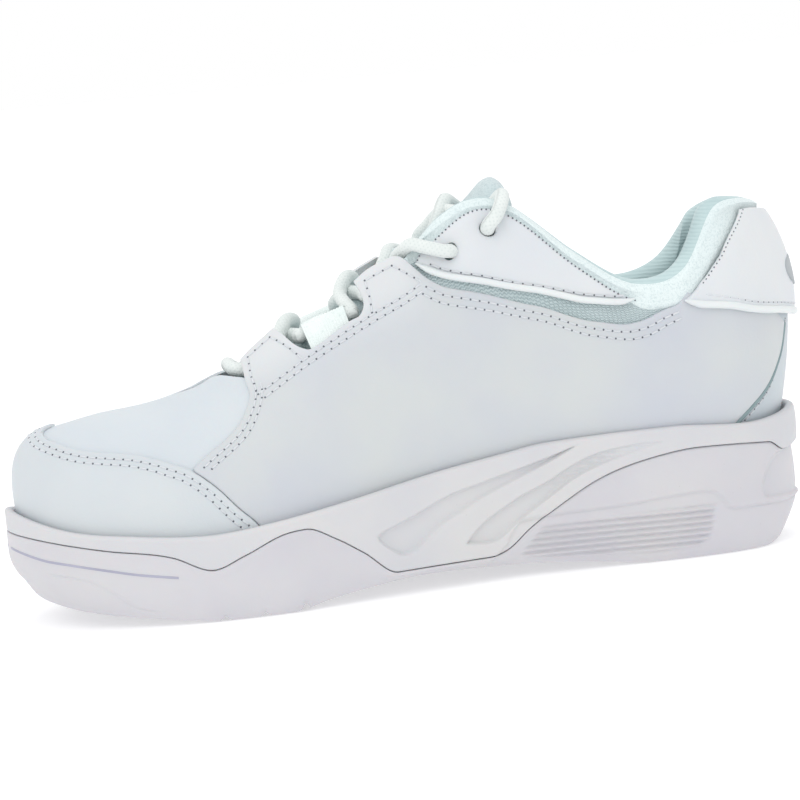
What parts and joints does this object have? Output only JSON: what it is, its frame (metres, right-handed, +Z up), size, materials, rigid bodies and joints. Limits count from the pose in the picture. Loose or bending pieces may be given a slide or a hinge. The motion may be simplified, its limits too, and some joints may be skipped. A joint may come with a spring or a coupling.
{
  "type": "cheer shoe",
  "caption": "Low lace-up cheer shoe for the right foot, with a cup sole, layered leather and mesh upper, padded collar and padded tongue.",
  "frame": {"origin": "on the ground plane, under the middle of the shoe's plan outline", "axes": "+X from the toe towards the heel, +Y towards the lateral (outer) side of the foot, +Z up"},
  "size_m": [0.2639, 0.0962, 0.1287],
  "materials": {
    "outsole": "matte moulded foam rubber",
    "midsole": "matte moulded foam",
    "strobel_board": "plain woven board",
    "sockliner": "foam with knit cover",
    "toe_puff": "matte stiffener",
    "heel_counter": "matte stiffener",
    "vamp": "grained synthetic leather",
    "vamp_lining": "knit lining",
    "mudguard": "grained synthetic leather",
    "quarter_medial": "grained synthetic leather",
    "collar_mesh_medial": "padded knit mesh",
    "eyelet_panel_medial": "smooth synthetic leather",
    "quarter_lateral": "grained synthetic leather",
    "collar_mesh_lateral": "padded knit mesh",
    "eyelet_panel_lateral": "smooth synthetic leather",
    "heel_tab": "smooth synthetic leather",
    "backstay": "grained synthetic leather",
    "collar_padding": "open foam",
    "collar_lining": "ribbed knit lining",
    "tongue_face": "knit mesh",
    "tongue_padding": "open foam",
    "tongue_lining": "knit lining",
    "lace_loop_low_medial": "ribbed webbing",
    "lace_loop_low_lateral": "ribbed webbing",
    "lace_loop_mid_medial": "ribbed webbing",
    "lace_loop_mid_lateral": "ribbed webbing",
    "lace_loop_high_medial": "ribbed webbing",
    "lace_loop_high_lateral": "ribbed webbing",
    "lace": "woven round lace",
    "lace_aglet_medial": "clear film",
    "lace_aglet_lateral": "clear film"
  },
  "bodies": {
    "shoe": {"outsole": "outsole", "midsole": "midsole", "strobel_board": "strobel_board", "sockliner": "sockliner", "toe_puff": "toe_puff", "heel_counter": "heel_counter", "vamp": "vamp", "vamp_lining": "vamp_lining", "mudguard": "mudguard", "quarter_medial": "quarter_medial", "collar_mesh_medial": "collar_mesh_medial", "eyelet_panel_medial": "eyelet_panel_medial", "quarter_lateral": "quarter_lateral", "collar_mesh_lateral": "collar_mesh_lateral", "eyelet_panel_lateral": "eyelet_panel_lateral", "heel_tab": "heel_tab", "backstay": "backstay", "collar_padding": "collar_padding", "collar_lining": "collar_lining", "lace_loop_low_medial": "lace_loop_low_medial", "lace_loop_low_lateral": "lace_loop_low_lateral", "lace_loop_mid_medial": "lace_loop_mid_medial", "lace_loop_mid_lateral": "lace_loop_mid_lateral", "lace_loop_high_medial": "lace_loop_high_medial", "lace_loop_high_lateral": "lace_loop_high_lateral", "lace": "lace", "lace_aglet_medial": "lace_aglet_medial", "lace_aglet_lateral": "lace_aglet_lateral"},
    "tongue": {"tongue_face": "tongue_face", "tongue_padding": "tongue_padding", "tongue_lining": "tongue_lining"}
  },
  "joints": [
    {"name": "tongue_sink", "type": "hinge", "parent": "shoe", "child": "tongue", "pos_m": [-0.0699, -0.0059, 0.06], "axis": [0, 1, 0], "range_deg": [0, 12], "stiffness_Nm_per_rad": 0.4, "springref_deg": -2.86}
  ]
}
